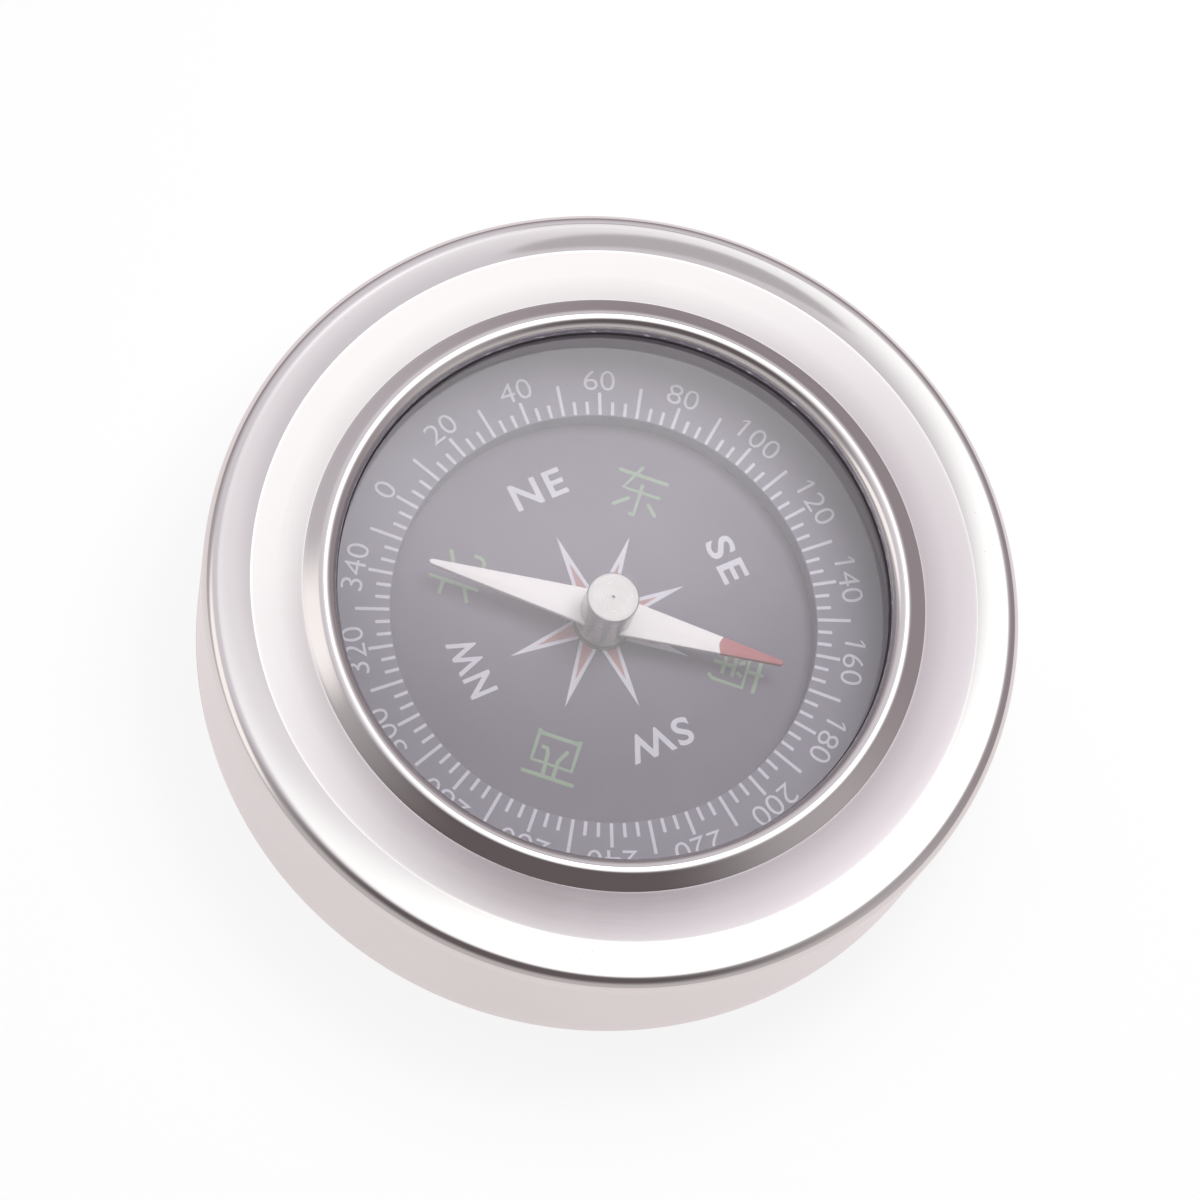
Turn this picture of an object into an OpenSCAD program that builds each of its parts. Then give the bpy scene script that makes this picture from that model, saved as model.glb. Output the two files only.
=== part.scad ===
// Round steel compass with a raised degree ring and a needle that turns on a pivot pin.
// The underside rests on z = 0, +Z is up, and the needle's plain end points along +Y at rest.

/* [Case] */
// Outer diameter of the drawn steel case
case_d = 60; // [56:0.5:70]
// Thickness of the steel sheet
sheet = 0.6; // [0.4:0.05:0.7]
// Height of the ridge, the highest circle of the flange
ridge_h = 13.48; // [13.4:0.02:13.5]
// Radius at which the ridge lies
ridge_at = 26.75; // [26.5:0.05:27]
// Radius of the bend over the ridge
ridge_r = 2; // [1.5:0.1:2.5]
// Radius of the slight dome of the flange, between the lip and the ridge
flange_r = 75; // [50:5:150]
// Slope in degrees at which the outer bevel leaves the ridge
bevel_tilt = 6.8; // [5:0.2:9]
// Radius of the broad roll of that bevel
bevel_r = 32; // [24:1:40]
// Radius of the tight shoulder between the bevel and the wall
shoulder_r = 1.3; // [1.1:0.1:1.6]
// Radius of the bend at the foot of the wall
foot_r = 0.5; // [0.3:0.1:0.8]
// Width of the ring on which the case stands, rolled in under the base plate
foot_w = 2.1; // [1.5:0.1:3]

/* [Window] */
// Radius of the window in the lip
window_r = 20.4; // [20.2:0.05:20.5]
// Radius of the rounded lip's section
lip_r = 0.95; // [0.9:0.05:1]
// Length of the straight wall inside the window, below the rounded lip
lip_drop = 0.3; // [0.2:0.05:0.4]
// Height of the lip's highest circle
lip_h = 13.5; // [13.4:0.05:13.6]
// Radius of the crease at which the flange meets the lip
crease_r = 22.85; // [22.75:0.05:22.9]
// Height of that crease
crease_h = 12.82; // [12.76:0.02:12.86]
// Thickness of the glass
glass_t = 1.5; // [1.2:0.1:1.6]
// Radius of the glass
glass_r = 22; // [21.8:0.1:22.1]
// Thickness of the gasket between the glass and the lip
gasket_t = 0.25; // [0.2:0.05:0.3]
// How far the gasket shows inside the window
gasket_shows = 0.12; // [0.05:0.01:0.2]

/* [Dial] */
// Inner radius of the carrier's tube, which centres the dial and the glass
tube_r = 22.2; // [22.15:0.05:22.25]
// Wall of the carrier's tube
tube_wall = 0.85; // [0.7:0.05:1]
// Thickness of the carrier's floor
floor_t = 1.2; // [0.8:0.1:1.5]
// Height of the dial disc's printed face
dial_h = 4.4; // [4.2:0.1:4.6]
// Thickness of the dial disc
dial_t = 0.4; // [0.3:0.05:0.6]
// Height of the degree ring above the dial disc
step_h = 1.8; // [1.4:0.1:1.9]
// Inner radius of the degree ring
ring_r = 16; // [15:0.1:16.5]
// Wall of the spacer that holds the glass above the degree ring
spacer_wall = 0.6; // [0.4:0.05:0.8]
// Inner radius of the seat on which the glass lies
seat_r = 20.8; // [20.6:0.1:21]
// Thickness of that seat
seat_t = 0.8; // [0.6:0.1:1]

/* [Needle] */
// Length of the needle from tip to tip
needle_l = 27.4; // [22:0.2:29]
// Width of the needle's arms where they would meet at the middle
needle_w = 3.1; // [2.4:0.1:3.6]
// Width of the blunt tips
tip_w = 0.4; // [0.2:0.05:0.6]
// Thickness of the needle
needle_t = 0.45; // [0.3:0.05:0.6]
// Height of the needle's underside
needle_h = 6.4; // [6.3:0.05:6.6]
// Radius of the round eye at the needle's middle
eye_r = 2.6; // [2.3:0.1:3]
// Radius of the hub
hub_r = 1.95; // [1.8:0.05:2.1]
// Height of the hub above the needle
hub_h = 3.2; // [2.8:0.05:3.2]
// Radius of the hub's bore
bore_r = 1.2; // [1.1:0.05:1.3]

/* [Pivot] */
// Radius of the pivot pin
pin_r = 0.45; // [0.3:0.05:0.6]
// Length of the pin's point
point_l = 1.1; // [0.8:0.1:1.3]
// Radius of the brass bush's stem
bush_r = 1.2; // [1:0.05:1.4]
// Radius of the bush's head, which holds the dial disc down
bush_head_r = 2.2; // [1.8:0.1:2.4]
// Thickness of the bush's head
bush_head_t = 0.5; // [0.3:0.1:0.8]
// Gap between the pin's point and the bearing cup
point_gap = 0.07; // [0.04:0.01:0.1]

/* [Hidden] */
$fn = 128;
case_r = case_d / 2;
case_inner_r = case_r - sheet;
run_clear = 0.1;

// Ridge, with the broad bevel that leaves it on the outside
ridge_z = ridge_h - ridge_r;
bevel_at = ridge_at - (bevel_r - ridge_r) * sin(bevel_tilt);
bevel_z = ridge_z - (bevel_r - ridge_r) * cos(bevel_tilt);

// Shoulder, tangent to the wall on one side and to the bevel on the other
shoulder_at = case_r - shoulder_r;
shoulder_run = shoulder_at - bevel_at;
shoulder_rise = sqrt(pow(bevel_r - shoulder_r, 2) - pow(shoulder_run, 2));
shoulder_z = bevel_z + shoulder_rise;
shoulder_tilt = atan2(shoulder_run, shoulder_rise);

// Flange, a slightly domed arc from the crease that runs smoothly into the ridge
crease_gap = norm([ridge_at - crease_r, ridge_z - crease_h]);
crease_turn = atan2(ridge_z - crease_h, ridge_at - crease_r);
flange_reach = pow(flange_r, 2) + pow(crease_gap, 2) - pow(flange_r - ridge_r, 2);
flange_turn = crease_turn - acos(flange_reach / (2 * flange_r * crease_gap));
flange_at = crease_r + flange_r * cos(flange_turn);
flange_z = crease_h + flange_r * sin(flange_turn);
flange_tilt = atan2(ridge_at - flange_at, ridge_z - flange_z);

// Lip, a round bead with a straight wall inside the window and a cone down to the crease outside
lip_at = window_r + lip_r;
lip_z = lip_h - lip_r;
lip_edge_z = lip_z - lip_drop;
cone_gap = [crease_r - lip_at, crease_h - lip_z];
cone_turn = atan2(cone_gap[1], cone_gap[0]) + acos(lip_r / norm(cone_gap));

// Stack from the base plate up to the lip
plate_top = 2 * sheet;
glass_top = lip_edge_z - gasket_t;
glass_bottom = glass_top - glass_t;
dial_bottom = dial_h - dial_t;
ring_top = dial_h + step_h;
tube_top = glass_top;
flange_t = 1;
boss_r = 3.2;

// Needle, from its underside up to the hub's face
needle_top = needle_h + needle_t;
hub_top = needle_top + hub_h;
hub_roof = 0.55;
hub_edge = 0.12;
neck_r = 1.55;
swage_r = 1.85;
swage_t = 0.3;
dimple_r = 0.14;
cup_top = hub_top - hub_roof;
cup_t = 1;
cup_mouth_r = 0.9;
cup_apex = cup_top - 0.35;
point_r = 0.05;

// Pin, from inside the bush up to its point
point_z = cup_apex - point_gap;
pin_foot = plate_top + 0.4;

// Point on the bevel's circle, moved inwards by inset, at a tilt from the vertical
function on_bevel(inset, tilt) = [
    bevel_at + (bevel_r - inset) * sin(tilt),
    bevel_z + (bevel_r - inset) * cos(tilt)
];

// Point on the flange's circle, moved inwards by inset, at a tilt from the vertical
function on_flange(inset, tilt) = [
    flange_at + (flange_r - inset) * sin(tilt),
    flange_z + (flange_r - inset) * cos(tilt)
];

// Point on the lip's circle, moved inwards by inset, where its outer cone starts
function on_lip(inset) = [
    lip_at + (lip_r - inset) * cos(cone_turn),
    lip_z + (lip_r - inset) * sin(cone_turn)
];

// Rectangle in the half section between two radii and two heights
module band(r0, r1, z0, z1) {
    translate([r0, z0])
        square([r1 - r0, z1 - z0]);
}

// Ring with a rectangular section
module ring(r0, r1, z0, z1) {
    rotate_extrude()
        band(r0, r1, z0, z1);
}

// Half section of the case's outer form above the foot, moved inwards by inset
module case_section(inset) {
    cone_start = on_lip(inset);
    cone_end = cone_start + cone_gap[0] * [1, -1 / tan(cone_turn)];
    bead_r = lip_r - inset;
    band(lip_at, case_r - inset, foot_r, shoulder_z);
    translate([shoulder_at, shoulder_z])
        circle(shoulder_r - inset);
    intersection() {
        translate([bevel_at, bevel_z])
            circle(bevel_r - inset);
        polygon([
            [ridge_at, foot_r],
            [shoulder_at, foot_r],
            [shoulder_at, shoulder_z],
            on_bevel(-1, shoulder_tilt),
            on_bevel(-1, bevel_tilt),
            [ridge_at, ridge_z]
        ]);
    }
    intersection() {
        translate([ridge_at, ridge_z])
            circle(ridge_r - inset);
        polygon([
            [ridge_at, ridge_z],
            on_bevel(-1, bevel_tilt),
            on_flange(-1, flange_tilt)
        ]);
    }
    intersection() {
        translate([flange_at, flange_z])
            circle(flange_r - inset);
        polygon([
            [lip_at, foot_r],
            [ridge_at, foot_r],
            [ridge_at, ridge_z],
            on_flange(-1, flange_tilt),
            [lip_at, lip_h]
        ]);
    }
    translate([lip_at, lip_z])
        circle(bead_r);
    polygon([
        [lip_at, foot_r],
        [cone_end[0], foot_r],
        cone_end,
        cone_start,
        [lip_at, lip_z]
    ]);
    band(lip_at - bead_r, lip_at, foot_r, lip_z);
}

// Drawn steel case in one piece: lip, domed flange, ridge, bevel, shoulder, wall and rolled foot
module case_shell() {
    color("gainsboro")
        rotate_extrude()
            difference() {
                union() {
                    case_section(0);
                    band(case_r - foot_w, case_r - foot_r, 0, sheet);
                    translate([case_r - foot_r, foot_r])
                        circle(foot_r);
                }
                difference() {
                    union() {
                        case_section(sheet);
                        band(0, lip_at, -1, lip_edge_z);
                        band(lip_at, case_inner_r, -1, shoulder_z);
                    }
                    band(case_r - foot_w, case_r, -2, sheet);
                }
            }
}

// Steel plate that closes the case from below
module base_plate() {
    color("silver")
        ring(0, case_inner_r - run_clear, sheet, plate_top);
}

// Moulded carrier: floor under the dial, centring tube, foot flange and boss for the pivot
module carrier() {
    tube_outer_r = tube_r + tube_wall;
    color("dimgray")
        rotate_extrude()
            union() {
                band(bush_r, tube_outer_r, dial_bottom - floor_t, dial_bottom);
                band(tube_r, tube_outer_r, plate_top, tube_top);
                band(tube_r, case_inner_r - run_clear, plate_top, plate_top + flange_t);
                band(bush_r, boss_r, plate_top, dial_bottom);
            }
}

// Printed dial disc
module dial_disc() {
    color("slategray")
        ring(bush_r, tube_r, dial_bottom, dial_h);
}

// Raised ring that carries the degree scale, with a small chamfer on its inner edge
module degree_ring() {
    chamfer = 0.15;
    color("lightslategray")
        rotate_extrude()
            polygon([
                [ring_r, dial_h],
                [tube_r, dial_h],
                [tube_r, ring_top],
                [ring_r + chamfer, ring_top],
                [ring_r, ring_top - chamfer]
            ]);
}

// Spacer between the degree ring and the glass, with an inward seat
module spacer_ring() {
    color("gray")
        rotate_extrude()
            union() {
                band(tube_r - spacer_wall, tube_r, ring_top, glass_bottom);
                band(seat_r, tube_r, glass_bottom - seat_t, glass_bottom);
            }
}

// Flat glass with a ground edge
module glass() {
    edge = 0.2;
    color("lightcyan", 0.35)
        rotate_extrude()
            polygon([
                [0, glass_bottom],
                [glass_r - edge, glass_bottom],
                [glass_r, glass_bottom + edge],
                [glass_r, glass_top - edge],
                [glass_r - edge, glass_top],
                [0, glass_top]
            ]);
}

// Black gasket, flat on the glass with a round rib inside the lip
module gasket() {
    rib_r = lip_r - sheet - run_clear;
    color("black")
        rotate_extrude()
            union() {
                band(window_r - gasket_shows, glass_r, glass_top, lip_edge_z);
                intersection() {
                    translate([lip_at, lip_edge_z])
                        circle(rib_r);
                    band(window_r, glass_r, glass_top, lip_h);
                }
            }
}

// Brass bush riveted through the dial disc and the carrier, bored for the pin
module pivot_bush() {
    color("goldenrod")
        rotate_extrude()
            union() {
                band(pin_r, bush_r, pin_foot, dial_h + bush_head_t);
                band(pin_r, bush_head_r, dial_h, dial_h + bush_head_t);
                band(0, bush_r, plate_top, pin_foot);
            }
}

// Steel pin with a fine point
module pivot_pin() {
    color("lightgray")
        rotate_extrude()
            polygon([
                [0, pin_foot],
                [pin_r, pin_foot],
                [pin_r, point_z - point_l],
                [point_r, point_z],
                [0, point_z]
            ]);
}

// Flat needle with two tapered arms and a round eye for the hub
module needle_blade() {
    half = needle_l / 2;
    tip = tip_w / 2;
    color("whitesmoke")
        translate([0, 0, needle_h])
            linear_extrude(needle_t)
                difference() {
                    union() {
                        polygon([
                            [needle_w / 2, 0],
                            [tip, half - tip],
                            [0, half],
                            [-tip, half - tip],
                            [-needle_w / 2, 0],
                            [-tip, tip - half],
                            [0, -half],
                            [tip, tip - half]
                        ]);
                        circle(eye_r);
                    }
                    circle(neck_r);
                }
}

// Turned cap, swaged into the needle's eye, with a centre mark on its face
module needle_hub() {
    color("ghostwhite")
        rotate_extrude()
            difference() {
                union() {
                    band(0, swage_r, needle_h - swage_t, needle_h);
                    band(0, neck_r, needle_h, needle_top);
                    polygon([
                        [0, needle_top],
                        [hub_r, needle_top],
                        [hub_r, hub_top - hub_edge],
                        [hub_r - hub_edge, hub_top],
                        [0, hub_top]
                    ]);
                }
                band(-1, bore_r, 0, cup_top);
                translate([0, hub_top])
                    circle(dimple_r);
            }
}

// Hard bearing cup pressed into the hub's bore, which turns on the pin's point
module bearing_cup() {
    color("indianred")
        rotate_extrude()
            polygon([
                [cup_mouth_r, cup_top - cup_t],
                [bore_r, cup_top - cup_t],
                [bore_r, cup_top],
                [0, cup_top],
                [0, cup_apex],
                [2 * point_r, cup_apex]
            ]);
}

case_shell();
base_plate();
carrier();
dial_disc();
degree_ring();
spacer_ring();
glass();
gasket();
pivot_bush();
pivot_pin();
needle_blade();
needle_hub();
bearing_cup();
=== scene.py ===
"""Looks of a round steel compass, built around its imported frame. Lengths are metres."""
import math

import bmesh
import bpy
from mathutils import Matrix, Vector


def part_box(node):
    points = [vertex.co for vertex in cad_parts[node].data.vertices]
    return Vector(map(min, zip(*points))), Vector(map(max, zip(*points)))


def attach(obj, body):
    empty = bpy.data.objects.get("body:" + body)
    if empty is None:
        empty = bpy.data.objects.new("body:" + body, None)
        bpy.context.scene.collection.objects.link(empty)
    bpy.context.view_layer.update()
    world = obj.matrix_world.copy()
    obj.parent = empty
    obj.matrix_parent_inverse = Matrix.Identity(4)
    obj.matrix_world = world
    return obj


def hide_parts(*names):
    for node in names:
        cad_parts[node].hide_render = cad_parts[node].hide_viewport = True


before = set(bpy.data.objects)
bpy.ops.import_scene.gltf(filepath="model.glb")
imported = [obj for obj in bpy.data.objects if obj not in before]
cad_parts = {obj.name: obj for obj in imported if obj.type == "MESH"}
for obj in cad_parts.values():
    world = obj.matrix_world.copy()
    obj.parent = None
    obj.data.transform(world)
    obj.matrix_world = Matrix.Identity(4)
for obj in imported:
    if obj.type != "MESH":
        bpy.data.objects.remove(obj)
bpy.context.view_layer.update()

MM = 0.001
CASE = "case"
NEEDLE = "needle"

# Camera, as fitted to the photograph
VIEW_TURN = math.radians(-97.6)
VIEW_TILT = math.radians(21.61)
VIEW_ROLL = math.radians(23.3)
LENS = 102.0
SENSOR = 36.0
CLIP_NEAR = 0.01
CLIP_FAR = 20
RIM_CENTRE = Vector((0, 0, 12.3 * MM))
RIM_IN_VIEW = Vector((1.22 * MM, 0.78 * MM, -247.2 * MM))

# Drawn steel case: the outline of the part's source, with a hollow outer band and crisper edges
CASE_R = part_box("case_shell")[1].x
LIP_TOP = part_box("case_shell")[1].z
SHEET = 0.6 * MM
FOOT_R = 0.5 * MM
FOOT_W = 2.1 * MM
SHOULDER_R = 1.17 * MM
SHOULDER_TILT = 1.3
HOLLOW_TILT = 8.1
RIDGE_AT = 26.61 * MM
RIDGE_TOP = 13.48 * MM
RIDGE_R = 0.08 * MM
FLANGE_R = 75.0 * MM
CREASE_R = 22.85 * MM
CREASE_Z = 12.82 * MM
CREASE_SOFT = 0.005 * MM
LIP_R = 0.95 * MM
LIP_DROP = 0.3 * MM
WINDOW_R = 20.4 * MM
SEAL_SHOWS = 0.09 * MM
SEAL_GAP = 0.006 * MM

# Levels and radii that the frame gives
GLASS_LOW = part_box("glass")[0].z
GLASS_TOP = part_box("glass")[1].z
GLASS_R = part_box("glass")[1].x
DIAL_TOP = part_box("dial_disc")[1].z
RING_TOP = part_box("degree_ring")[1].z
TUBE_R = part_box("degree_ring")[1].x
NEEDLE_LOW, NEEDLE_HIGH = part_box("needle_blade")
HUB_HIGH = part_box("needle_hub")[1]

# Degree ring and its scale
RING_R = 16.0 * MM
RING_EDGE = 0.12 * MM
SPACER_WALL = 0.6 * MM
SPACER_FILLET = 0.25 * MM
SEAT_R = 20.8 * MM
SEAT_T = 0.8 * MM
SCALE_ZERO = 14.3
TICK_STEP = 10 / 3
TICKS_IN_TEN = 3
TICK_START = 16.08 * MM
TICK_SHORT = 17.15 * MM
TICK_MEDIUM = 17.9 * MM
TICK_LONG = 18.6 * MM
TICK_W = 0.25 * MM
FIGURE_STEP = 20
FIGURE_R = 18.9 * MM
FIGURE_H = 1.62 * MM
FIGURE_PRESS = 1.12
FIGURE_THIN = -0.006

# Reach, drop and thickness of the flag of a figure one, as shares of the figure's height
FIGURE_FLAG = (0.17, 0.2, 0.12)

# Marks on the dial disc
PRINT_NORTH = 0.36 * MM
MARK_ZERO = 4.4
MARKS_EAST = 0.73 * MM
MARK_R = 10.76 * MM
MARK_H = 2.18 * MM
MARK_BOLD = 0.02
MARK_SPACING = 1.15
MARKS = (
    (45, "NE", 4.3 * MM),
    (135, "SE", 3.64 * MM),
    (227, "SW", 5.06 * MM),
    (315, "NW", 4.7 * MM),
)
SIGN_ZERO = 2.5
SIGN_R = 11.1 * MM
SIGN_SIZE = 3.9 * MM
SIGN_W = 0.3 * MM
STAR_POINTS = 8
STAR_ZERO = 5.3
STAR_TIP = 7.3 * MM
STAR_NOTCH = 1.95 * MM
STAR_CORE_TIP = 5.0 * MM
STAR_CORE_NOTCH = 1.45 * MM
INK_T = 0.012 * MM
INK_WELD = 1e-5

# Pen strokes of the four direction signs, in a square from -1 to 1, top up
SIGNS = {
    0: [
        [(-0.38, 1.0), (-0.38, -1.0)],
        [(-1.0, 0.4), (-0.38, 0.4)],
        [(-1.0, -0.72), (-0.38, -0.42)],
        [(0.15, 1.0), (0.15, -0.72), (0.28, -0.9), (0.75, -0.9), (0.92, -0.72), (0.92, -0.42)],
        [(0.88, 0.5), (0.15, 0.12)],
    ],
    90: [
        [(-1.02, 0.63), (1.02, 0.63)],
        [(-0.12, 1.02), (-0.65, -0.04), (0.87, -0.04)],
        [(0.06, 0.31), (0.06, -1.05), (-0.14, -1.0)],
        [(-0.28, -0.37), (-0.86, -0.88)],
        [(0.47, -0.4), (0.9, -0.85)],
    ],
    180: [
        [(-0.8, 0.8), (0.8, 0.8)],
        [(0.0, 1.02), (0.0, 0.35)],
        [(-0.72, -1.05), (-0.72, 0.35), (0.72, 0.35), (0.72, -0.86), (0.55, -1.05)],
        [(-0.3, 0.22), (-0.18, -0.02)],
        [(0.3, 0.22), (0.18, -0.02)],
        [(-0.42, -0.15), (0.42, -0.15)],
        [(-0.42, -0.55), (0.42, -0.55)],
        [(0.0, -0.15), (0.0, -0.98)],
    ],
    270: [
        [(-1.04, 0.94), (1.04, 0.94)],
        [(-0.8, -0.85), (-0.8, 0.42), (0.8, 0.42), (0.8, -0.85)],
        [(-0.8, -0.7), (0.8, -0.7)],
        [(-0.2, 0.94), (-0.2, 0.2), (-0.46, -0.3)],
        [(0.2, 0.94), (0.26, 0.02), (0.34, -0.18), (0.55, -0.18)],
    ],
}

# Needle and hub
EYE_R = 1.9 * MM
NECK_R = 1.55 * MM
NECK_CLEAR = 1.05
ARM_W = 3.1 * MM
TIP_W = 0.4 * MM
BLADE_EDGE = 0.05 * MM
BLADE_EDGE_TURN = 1.2
HUB_EDGE = 0.12 * MM
BORE_R = 1.2 * MM
HUB_ROOF = 0.55 * MM
HUB_SKIRT = 1.4 * MM
HUB_FOOT_R = 2.1 * MM
HUB_FOOT_T = 0.12 * MM
DIMPLE_R = 0.14 * MM
DIMPLE_ROUND = (0.6, 0.8)
RED_FROM = 8.7 * MM
RED_BOW = 520.0
RED_WOBBLE = 0.06 * MM
RED_SOFT = 0.03 * MM

# How finely curves are divided
TURN_STEPS = 288
HUB_TURN_STEPS = 128
NECK_STEPS = 64
EYE_STEPS = 20
FOOT_STEPS = 8
WALL_STEPS = 6
SHOULDER_STEPS = 28
HOLLOW_STEPS = 16
RIDGE_STEPS = 12
FLANGE_STEPS = 20
CREASE_STEPS = 4
CONE_STEPS = 4
LIP_STEPS = 40
SEAL_STEPS = 12
EDGE_STEPS = 6
HUB_STEPS = 6
LETTER_STEPS = 6
PEN_STEPS = 3
BLADE_EDGE_STEPS = 2
SHARP_ANGLE = 35.0
BLADE_SHARP_ANGLE = 40.0
TOUCHING = 1e-7

# Surface detail. Ranges are the part of a texture's values that is used
NOISE_RANGE = (0.3, 0.7)
SCRATCH_RANGE = (0.68, 0.76)
SMUDGE_RANGE = (0.42, 0.72)
FLECK_RANGE = (0.05, 0.12)
FLECK_PATCHES = (0.66, 0.7)
FLECK_PATCH_SCALE = 260.0
FLECK_TONE = (0.25, 0.23, 0.22)
FLECK_SHARE = 0.5
SMUDGE_SHARE = 0.5
SMUDGE_HAZE = 0.03
SCRATCH_HAZE = 0.04
GRAIN_GLOSS = (0.85, 1.2)
PRINT_GLOSS = 0.06
PRINT_TOOTH = 0.001 * MM
PAINT_GLOSS = (0.32, 0.44)
PAINT_TOOTH = 0.004 * MM
PAINT_WHITE = ((0.87, 0.85, 0.855), (0.91, 0.89, 0.895))
PAINT_RED = ((0.45, 0.13, 0.15), (0.49, 0.16, 0.175))
GLASS_HAZE = 0.03

# Satin band of the steel, on the flange between crease and ridge. Its colour darkens toward the crease as
# painted shade, for the dark lip cone that the hazy steel mirrors there
SATIN_LOW = 11.0 * MM
SATIN_RISE = 0.1 * MM
SATIN_START = 0.05 * MM
SATIN_FADE = 0.25 * MM
SATIN_PAST = 0.05 * MM
SATIN_HAZE = 0.09
# Painted shade at the crease, where the hazy steel would mirror the dark cone of the lip
SATIN_CREASE_SHADE = (0.62, 0.59, 0.6)
SATIN_FAIR = (0.735, 0.705, 0.713)

# Floor
PLAIN_WHITE = (1.0, 1.0, 1.0)
FLOOR_SIZE = 6.0
FLOOR_PAPER = ((0.9, 0.89, 0.89), (0.92, 0.91, 0.91))
FLOOR_GLOW = 0.75
FLOOR_WHITE = 1.1
FLOOR_IN_STEEL = 0.9
FLOOR_TONE_IN_STEEL = (1.03, 0.935, 0.945)

# Room. Places are degrees from straight up, towards the right and the far side. A round place goes on
# with the angles where it is full and where it ends, an oval with half width, half height and softness
ROOM_FAR = (0.33, 0.28, 0.295)
ROOM_NEAR = (0.56, 0.52, 0.52)
ROOM_CHANGE = (-0.3, 0.5)
TABLE_TONE = (0.8, 0.79, 0.79)
TABLE_EDGE = 0.02
OVAL_FRONT = 0.1
GLOW_AT = (-16, 22, 15, 60)
GLOW_TONE = (0.75, 0.7, 0.742)
SHADE_AT = (9, -32, 40, 24, 0.5)
SHADE_TONE = (0.14, 0.115, 0.12)
WINDOW_AT = (-58, -22, 13, 24, 0.35)
WINDOW_TONE = (1.15, 1.08, 1.06)
HALO_AT = (-3, 14, 14, 22.5, 0.3)
HALO_TONE = (0.92, 0.873, 0.91)
CEILING_AT = (9.5, 14.5, 15.5, 20, 0.4)
CEILING_TONE = (1.36, 1.36, 1.345)
LAMP_CORE_AT = (-2.5, 24.3, 5.2, 4.2, 0.5)
LAMP_CORE_TONE = (2.8, 2.74, 2.8)
PATCH_AT = (-3.3, 37.5, 7.6, 3.4, 0.08)
PATCH_TONE = (0.53, 0.49, 0.51)

# Key lamp
KEY_AT = (8, 20)
KEY_REACH = 0.12
KEY_SIZE = 0.07
KEY_POWER = 0.05
KEY_TONE = (1.0, 0.985, 0.99)

# Sockets of a colour mix node, whose names it shares with its other kinds
MIX_FACTOR = 0
MIX_FIRST = 6
MIX_SECOND = 7
MIX_RESULT = 2


# Node helpers

def new_node(tree, kind, **inputs):
    """Adds a node and sets its unlinked inputs by name, with spaces written as underscores."""
    made = tree.nodes.new(kind)
    for name, value in inputs.items():
        made.inputs[name.replace("_", " ")].default_value = value
    return made


def math_node(tree, operation, a, b=None):
    """Adds a math node and returns its output; a and b are sockets or numbers."""
    made = tree.nodes.new("ShaderNodeMath")
    made.operation = operation
    for index, value in enumerate((a, b)):
        if value is None:
            continue
        if isinstance(value, (int, float)):
            made.inputs[index].default_value = value
        else:
            tree.links.new(value, made.inputs[index])
    return made.outputs[0]


def span(tree, a, b):
    """Length of the flat vector whose two parts are given as sockets."""
    squares = [math_node(tree, "MULTIPLY", part, part) for part in (a, b)]
    return math_node(tree, "SQRT", math_node(tree, "ADD", *squares))


def mapped(tree, value, low, high, to_low, to_high, smooth=False):
    """Adds a clamped map range node and returns its output."""
    made = new_node(tree, "ShaderNodeMapRange", From_Min=low, From_Max=high, To_Min=to_low, To_Max=to_high)
    made.interpolation_type = "SMOOTHSTEP" if smooth else "LINEAR"
    tree.links.new(value, made.inputs["Value"])
    return made.outputs["Result"]


def mixed(tree, factor, first, second):
    """Mixes two colours, each a socket or a tuple, by the value of a socket, and returns the output."""
    made = tree.nodes.new("ShaderNodeMix")
    made.data_type = "RGBA"
    for index, value in ((MIX_FIRST, first), (MIX_SECOND, second)):
        if isinstance(value, tuple):
            made.inputs[index].default_value = (*value, 1)
        else:
            tree.links.new(value, made.inputs[index])
    tree.links.new(factor, made.inputs[MIX_FACTOR])
    return made.outputs[MIX_RESULT]


def noise(tree, vector, scale, detail, roughness):
    """Adds a noise texture and returns its value."""
    made = new_node(tree, "ShaderNodeTexNoise", Scale=scale, Detail=detail, Roughness=roughness)
    tree.links.new(vector, made.inputs["Vector"])
    return made.outputs[0]


def object_place(tree):
    """Place on the object, as a vector socket."""
    return tree.nodes.new("ShaderNodeTexCoord").outputs["Object"]


def object_axes(tree):
    """Place on the object, as three sockets."""
    split = tree.nodes.new("ShaderNodeSeparateXYZ")
    tree.links.new(object_place(tree), split.inputs[0])
    return split.outputs


def new_group(name, inputs, outputs):
    """Makes an empty shader node group with float inputs and outputs, and returns it with its end nodes."""
    group = bpy.data.node_groups.new(name, "ShaderNodeTree")
    for label, value in inputs:
        socket = group.interface.new_socket(label, in_out="INPUT", socket_type="NodeSocketFloat")
        socket.default_value = value
    for label in outputs:
        group.interface.new_socket(label, in_out="OUTPUT", socket_type="NodeSocketFloat")
    return group, group.nodes.new("NodeGroupInput"), group.nodes.new("NodeGroupOutput")


def use_group(tree, group, **values):
    """Places a node group in a material with its own values."""
    made = new_node(tree, "ShaderNodeGroup")
    made.node_tree = group
    for name, value in values.items():
        made.inputs[name.replace("_", " ")].default_value = value
    return made


# Shared surface effects

def make_turned_grain():
    """Fine lines that run round the axis, as on spun or drawn metal, with faint longer scratches."""
    group, given, out = new_group("turned_grain", [("Lines", 9000.0), ("Streak", 3.0)], ["Grain", "Scratch"])
    x, y, z = object_axes(group)
    radius = span(group, x, y)
    angle = math_node(group, "ARCTAN2", y, x)
    fold = group.nodes.new("ShaderNodeCombineXYZ")
    for index, (part, label) in enumerate(((radius, "Lines"), (angle, "Streak"), (z, "Lines"))):
        group.links.new(math_node(group, "MULTIPLY", part, given.outputs[label]), fold.inputs[index])
    grain = noise(group, fold.outputs[0], scale=1.0, detail=3.0, roughness=0.6)
    group.links.new(grain, out.inputs["Grain"])
    scratch = noise(group, fold.outputs[0], scale=0.35, detail=1.0, roughness=0.4)
    group.links.new(mapped(group, scratch, *SCRATCH_RANGE, 0.0, 1.0), out.inputs["Scratch"])
    return group


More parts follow.
